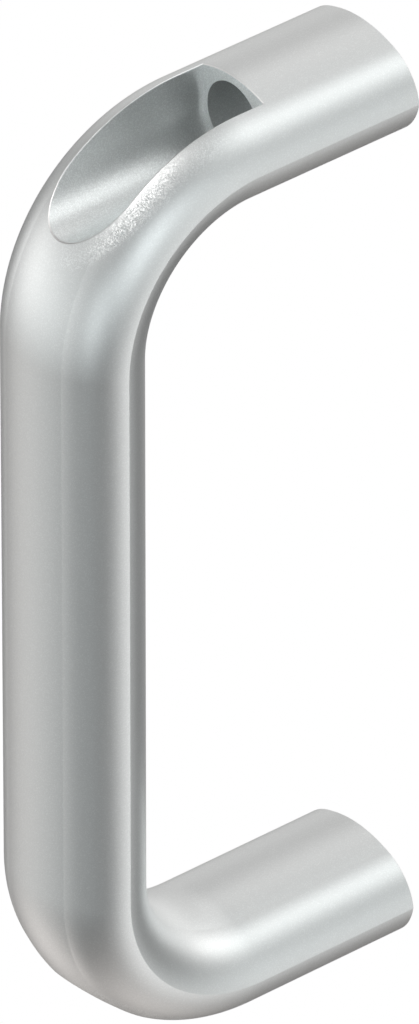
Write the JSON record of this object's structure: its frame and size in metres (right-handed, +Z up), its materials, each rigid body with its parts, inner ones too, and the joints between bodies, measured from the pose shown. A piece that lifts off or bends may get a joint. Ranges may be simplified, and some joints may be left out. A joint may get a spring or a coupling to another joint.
{
  "type": "bow handle",
  "caption": "Oval-section aluminium bow handle with bent legs, screw pockets let into the bends and flat feet that bolt to a door or drawer front.",
  "frame": {"origin": "on the mounting plane, midway between the two screw holes", "axes": "+X across the bar, +Y into the door or drawer front that the feet stand on, +Z up along the grip"},
  "size_m": [0.02, 0.0485, 0.1232],
  "materials": {
    "aluminium": "blasted and natural anodised, satin"
  },
  "bodies": {
    "root": {"bow_handle": "aluminium"}
  },
  "joints": []
}
